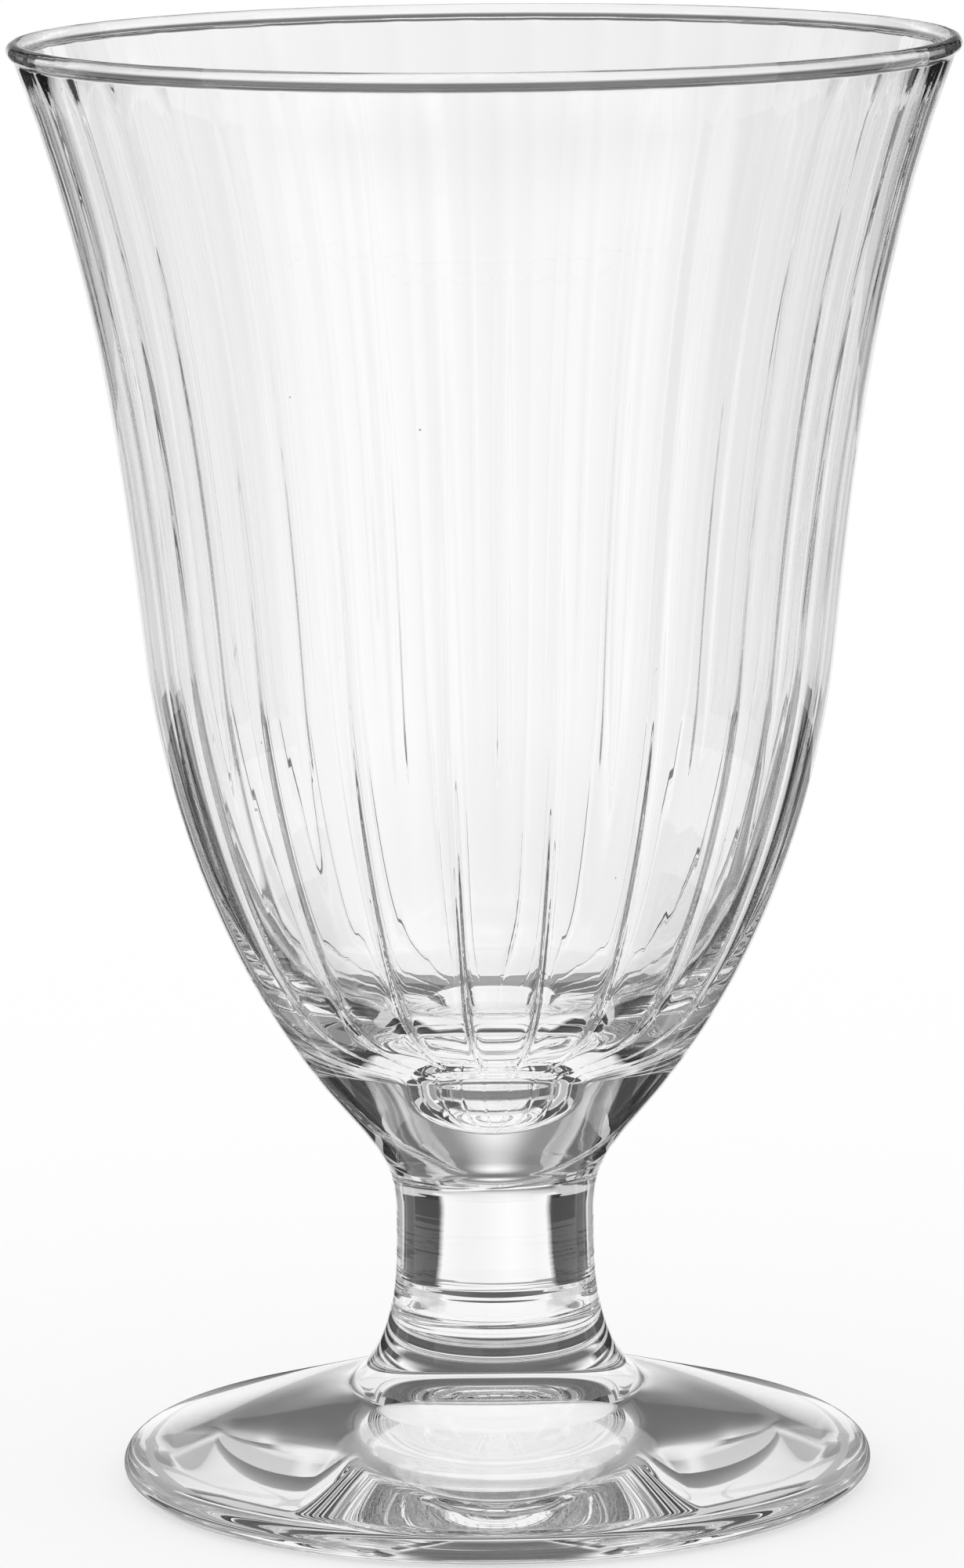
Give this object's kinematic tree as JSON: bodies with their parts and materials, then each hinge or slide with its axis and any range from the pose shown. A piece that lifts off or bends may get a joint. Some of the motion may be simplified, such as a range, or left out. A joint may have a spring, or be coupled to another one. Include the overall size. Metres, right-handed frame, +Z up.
{
  "type": "stemmed glass",
  "caption": "Clear stemmed drinking glass: flared bowl with a beaded rim and ribs inside, short solid stem and domed foot, for water, juice or dessert.",
  "frame": {"origin": "middle of the foot's resting ring, on the table", "axes": "+Z up along the glass's axis, from the foot to the rim"},
  "size_m": [0.095, 0.095, 0.1464],
  "materials": {
    "clear_glass": "clear soda-lime glass, fire-polished"
  },
  "bodies": {
    "root": {"bowl": "clear_glass", "stem": "clear_glass", "foot": "clear_glass"}
  },
  "joints": []
}
